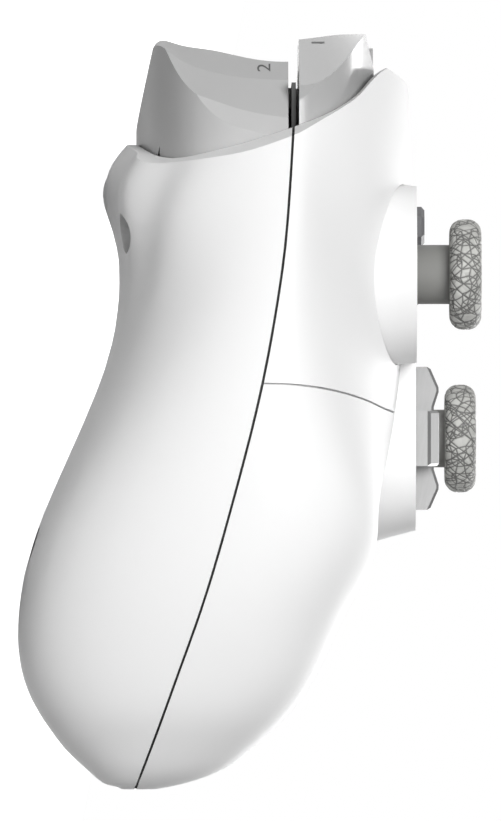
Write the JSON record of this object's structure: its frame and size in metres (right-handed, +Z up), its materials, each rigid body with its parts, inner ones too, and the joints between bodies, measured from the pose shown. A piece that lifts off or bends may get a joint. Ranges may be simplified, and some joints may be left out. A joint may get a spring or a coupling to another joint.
{
  "type": "gamepad controller",
  "caption": "Two-handed gamepad with raised faceplate, offset thumbsticks with textured rings, metal D-pad, face buttons, bumpers and analogue triggers.",
  "frame": {"origin": "centre of the footprint, on the surface that the back of the grips and the hump behind the triggers rest on", "axes": "+X to the player's right, +Y toward the triggers, +Z up out of the face with the sticks; the part lies on its back"},
  "size_m": [0.156, 0.1102, 0.0602],
  "materials": {
    "white_shell": "smooth white moulding with a soft shine",
    "grey_trigger": "light grey moulding",
    "bumper_gloss": "light grey moulding, polished sides",
    "stick_rubber": "grey rubber",
    "stick_ring_metal": "cast ring with a network of fine grooves",
    "pad_metal": "satin faces with polished edges",
    "dark_button": "dark grey moulding",
    "button_plastic": "dark grey cap with a soft shine",
    "light_pipe": "clear light pipe",
    "frame_plastic": "black moulding",
    "board_green": "circuit board",
    "part_black": "black moulded part",
    "socket_metal": "folded sheet metal",
    "screw_steel": "zinc plated steel",
    "battery_wrap": "wrapped cell",
    "membrane_rubber": "silicone",
    "weight_steel": "sintered weight"
  },
  "bodies": {
    "housing": {"front_shell": "white_shell", "rear_shell": "white_shell", "left_grip_panel": "white_shell", "right_grip_panel": "white_shell", "faceplate": "white_shell", "top_bridge": "bumper_gloss", "status_light": "light_pipe", "shell_screws": "screw_steel", "board_screws": "screw_steel", "bumper_pins": "screw_steel", "inner_frame": "frame_plastic", "main_board": "board_green", "usb_socket": "socket_metal", "headset_jack": "part_black", "battery_pack": "battery_wrap", "button_membrane": "membrane_rubber", "dpad_membrane": "membrane_rubber", "centre_membrane": "membrane_rubber", "left_stick_module": "part_black", "left_trigger_axle": "screw_steel", "left_trigger_spring": "screw_steel", "left_trigger_sensor": "board_green", "left_bumper_switch": "part_black", "left_rumble_motor": "screw_steel", "right_stick_module": "part_black", "right_trigger_axle": "screw_steel", "right_trigger_spring": "screw_steel", "right_trigger_sensor": "board_green", "right_bumper_switch": "part_black", "right_rumble_motor": "screw_steel"},
    "dpad_pivot_body": {"dpad_pivot": "screw_steel"},
    "dpad_body": {"dpad_cap": "pad_metal"},
    "left_gimbal_body": {"left_stick_gimbal": "part_black"},
    "left_shaft_body": {"left_stick_shaft": "part_black"},
    "left_stick_body": {"left_stick_cap": "stick_rubber", "left_stick_ring": "stick_ring_metal"},
    "left_trigger_body": {"left_trigger": "grey_trigger"},
    "left_bumper_body": {"left_bumper": "bumper_gloss"},
    "left_weight_body": {"left_rumble_weight": "weight_steel"},
    "right_gimbal_body": {"right_stick_gimbal": "part_black"},
    "right_shaft_body": {"right_stick_shaft": "part_black"},
    "right_stick_body": {"right_stick_cap": "stick_rubber", "right_stick_ring": "stick_ring_metal"},
    "right_trigger_body": {"right_trigger": "grey_trigger"},
    "right_bumper_body": {"right_bumper": "bumper_gloss"},
    "right_weight_body": {"right_rumble_weight": "weight_steel"},
    "face_button_top_body": {"face_button_top": "button_plastic"},
    "face_button_right_body": {"face_button_right": "button_plastic"},
    "face_button_bottom_body": {"face_button_bottom": "button_plastic"},
    "face_button_left_body": {"face_button_left": "button_plastic"},
    "view_button_body": {"view_button": "dark_button"},
    "menu_button_body": {"menu_button": "dark_button"},
    "home_button_body": {"home_button": "dark_button"}
  },
  "joints": [
    {"name": "left_stick_forward", "type": "hinge", "parent": "housing", "child": "left_gimbal_body", "pos_m": [-0.042, 0.02123, 0.03507], "axis": [1, 0, 0], "range_deg": [-14, 14], "stiffness_Nm_per_rad": 0.03},
    {"name": "left_stick_sideways", "type": "hinge", "parent": "left_gimbal_body", "child": "left_shaft_body", "pos_m": [-0.042, 0.02123, 0.03507], "axis": [0, 0.981, -0.1942], "range_deg": [-14, 14], "stiffness_Nm_per_rad": 0.03},
    {"name": "left_stick_click", "type": "slide", "parent": "left_shaft_body", "child": "left_stick_body", "axis": [0, -0.1942, -0.981], "range_m": [0, 0.0006], "stiffness_N_per_m": 1500, "springref_m": -0.001},
    {"name": "right_stick_forward", "type": "hinge", "parent": "housing", "child": "right_gimbal_body", "pos_m": [0.022, -0.00143, 0.03956], "axis": [1, 0, 0], "range_deg": [-14, 14], "stiffness_Nm_per_rad": 0.03},
    {"name": "right_stick_sideways", "type": "hinge", "parent": "right_gimbal_body", "child": "right_shaft_body", "pos_m": [0.022, -0.00143, 0.03956], "axis": [0, 0.981, -0.1942], "range_deg": [-14, 14], "stiffness_Nm_per_rad": 0.03},
    {"name": "right_stick_click", "type": "slide", "parent": "right_shaft_body", "child": "right_stick_body", "axis": [0, -0.1942, -0.981], "range_m": [0, 0.0006], "stiffness_N_per_m": 1500, "springref_m": -0.001},
    {"name": "dpad_forward", "type": "hinge", "parent": "housing", "child": "dpad_pivot_body", "pos_m": [-0.022, -0.00026, 0.04493], "axis": [1, 0, 0], "range_deg": [-5, 5], "stiffness_Nm_per_rad": 0.15},
    {"name": "dpad_sideways", "type": "hinge", "parent": "dpad_pivot_body", "child": "dpad_body", "pos_m": [-0.022, -0.00026, 0.04493], "axis": [0, 0.981, -0.1942], "range_deg": [-5, 5], "stiffness_Nm_per_rad": 0.15},
    {"name": "face_button_top_press", "type": "slide", "parent": "housing", "child": "face_button_top_body", "axis": [0, -0.1942, -0.981], "range_m": [0, 0.0015], "stiffness_N_per_m": 400, "springref_m": -0.001},
    {"name": "face_button_right_press", "type": "slide", "parent": "housing", "child": "face_button_right_body", "axis": [0, -0.1942, -0.981], "range_m": [0, 0.0015], "stiffness_N_per_m": 400, "springref_m": -0.001},
    {"name": "face_button_bottom_press", "type": "slide", "parent": "housing", "child": "face_button_bottom_body", "axis": [0, -0.1942, -0.981], "range_m": [0, 0.0015], "stiffness_N_per_m": 400, "springref_m": -0.001},
    {"name": "face_button_left_press", "type": "slide", "parent": "housing", "child": "face_button_left_body", "axis": [0, -0.1942, -0.981], "range_m": [0, 0.0015], "stiffness_N_per_m": 400, "springref_m": -0.001},
    {"name": "view_button_press", "type": "slide", "parent": "housing", "child": "view_button_body", "axis": [0, -0.1942, -0.981], "range_m": [0, 0.0009], "stiffness_N_per_m": 400, "springref_m": -0.001},
    {"name": "menu_button_press", "type": "slide", "parent": "housing", "child": "menu_button_body", "axis": [0, -0.1942, -0.981], "range_m": [0, 0.0009], "stiffness_N_per_m": 400, "springref_m": -0.001},
    {"name": "home_button_press", "type": "slide", "parent": "housing", "child": "home_button_body", "axis": [0, -0.1942, -0.981], "range_m": [0, 0.0009], "stiffness_N_per_m": 400, "springref_m": -0.001},
    {"name": "left_trigger_pull", "type": "hinge", "parent": "housing", "child": "left_trigger_body", "pos_m": [-0.019, 0.04009, 0.02216], "axis": [-1, 0, 0], "range_deg": [0, 16], "stiffness_Nm_per_rad": 0.08, "springref_deg": -11.46},
    {"name": "left_bumper_click", "type": "hinge", "parent": "housing", "child": "left_bumper_body", "pos_m": [-0.01, 0.04428, 0.02531], "axis": [0, 0.1942, 0.981], "range_deg": [0, 1.3], "stiffness_Nm_per_rad": 1, "springref_deg": -1.15},
    {"name": "left_rumble_spin", "type": "hinge", "parent": "housing", "child": "left_weight_body", "pos_m": [-0.059, -0.03414, 0.02055], "axis": [0, 0.1942, 0.981], "continuous": true},
    {"name": "right_trigger_pull", "type": "hinge", "parent": "housing", "child": "right_trigger_body", "pos_m": [0.019, 0.04009, 0.02216], "axis": [-1, 0, 0], "range_deg": [0, 16], "stiffness_Nm_per_rad": 0.08, "springref_deg": -11.46},
    {"name": "right_bumper_click", "type": "hinge", "parent": "housing", "child": "right_bumper_body", "pos_m": [0.01, 0.04428, 0.02531], "axis": [0, -0.1942, -0.981], "range_deg": [0, 1.3], "stiffness_Nm_per_rad": 1, "springref_deg": -1.15},
    {"name": "right_rumble_spin", "type": "hinge", "parent": "housing", "child": "right_weight_body", "pos_m": [0.059, -0.03414, 0.02055], "axis": [0, 0.1942, 0.981], "continuous": true}
  ]
}
